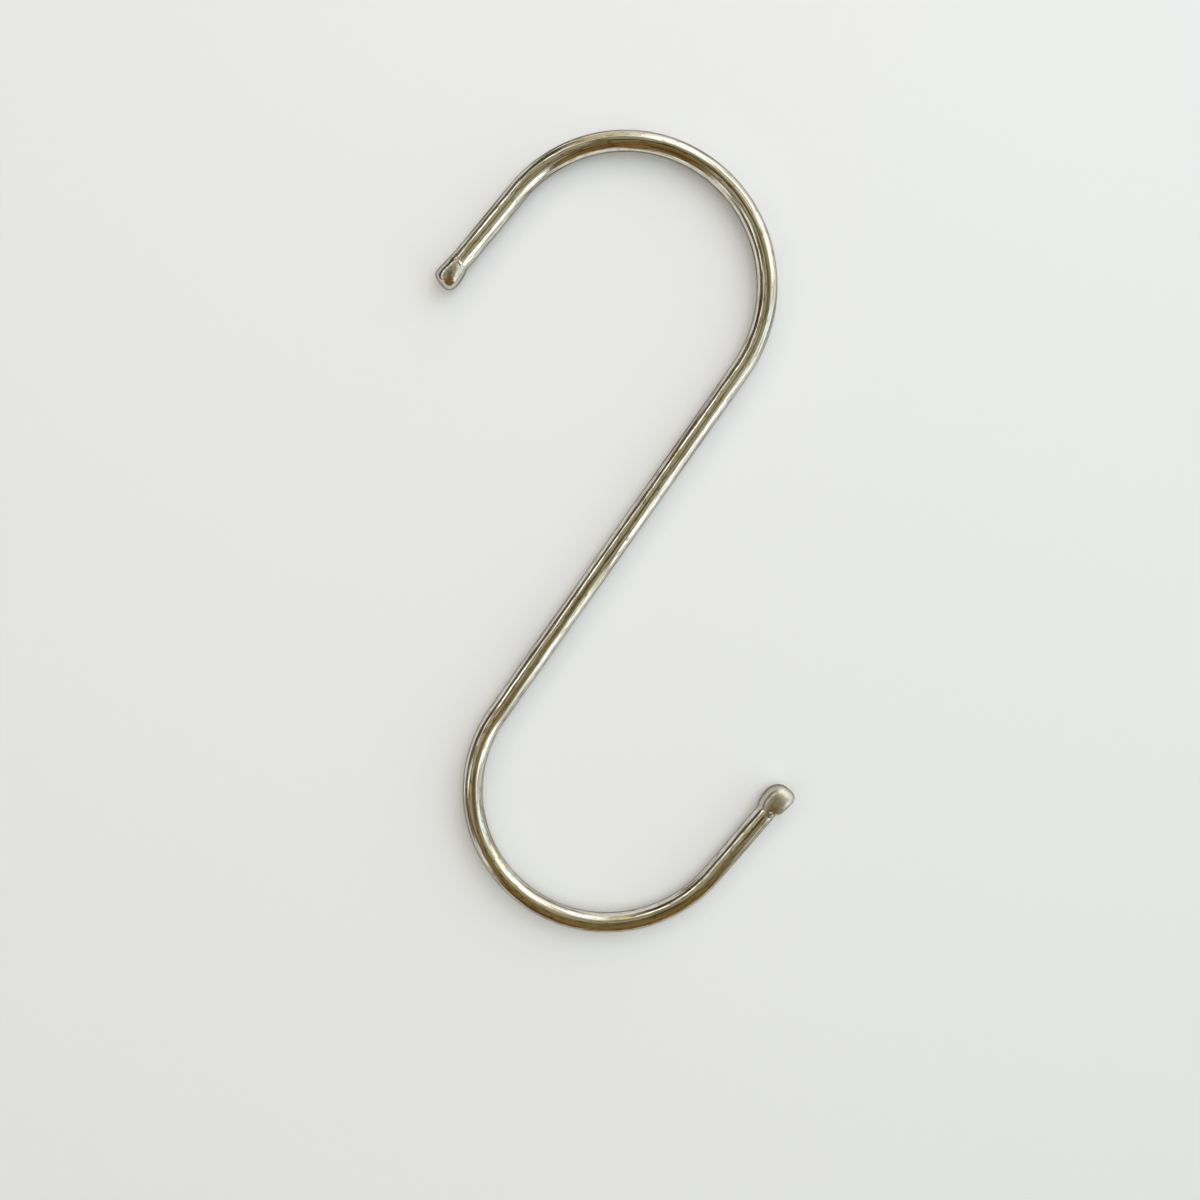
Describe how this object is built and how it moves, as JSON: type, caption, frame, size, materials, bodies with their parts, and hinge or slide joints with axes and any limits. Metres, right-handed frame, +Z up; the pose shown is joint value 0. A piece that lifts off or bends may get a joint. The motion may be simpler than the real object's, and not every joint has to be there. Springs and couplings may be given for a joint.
{
  "type": "s hook",
  "caption": "Round steel wire bent flat into an open S hook, with a melted blunt bead at the end of each bend.",
  "frame": {"origin": "under the middle of the straight shank, level with the lowest point of the hook as it lies flat", "axes": "+Z up out of the plane of the wire; +Y along the line of pull, towards the upper bend, whose mouth opens towards -X; +X completes the frame"},
  "size_m": [0.0571, 0.12, 0.0046],
  "materials": {
    "polished_wire": "bright drawn wire with a crisp gloss and fine lengthwise die lines; the melted beads are duller, grey and lumpy"
  },
  "bodies": {
    "root": {"hook": "polished_wire"}
  },
  "joints": []
}
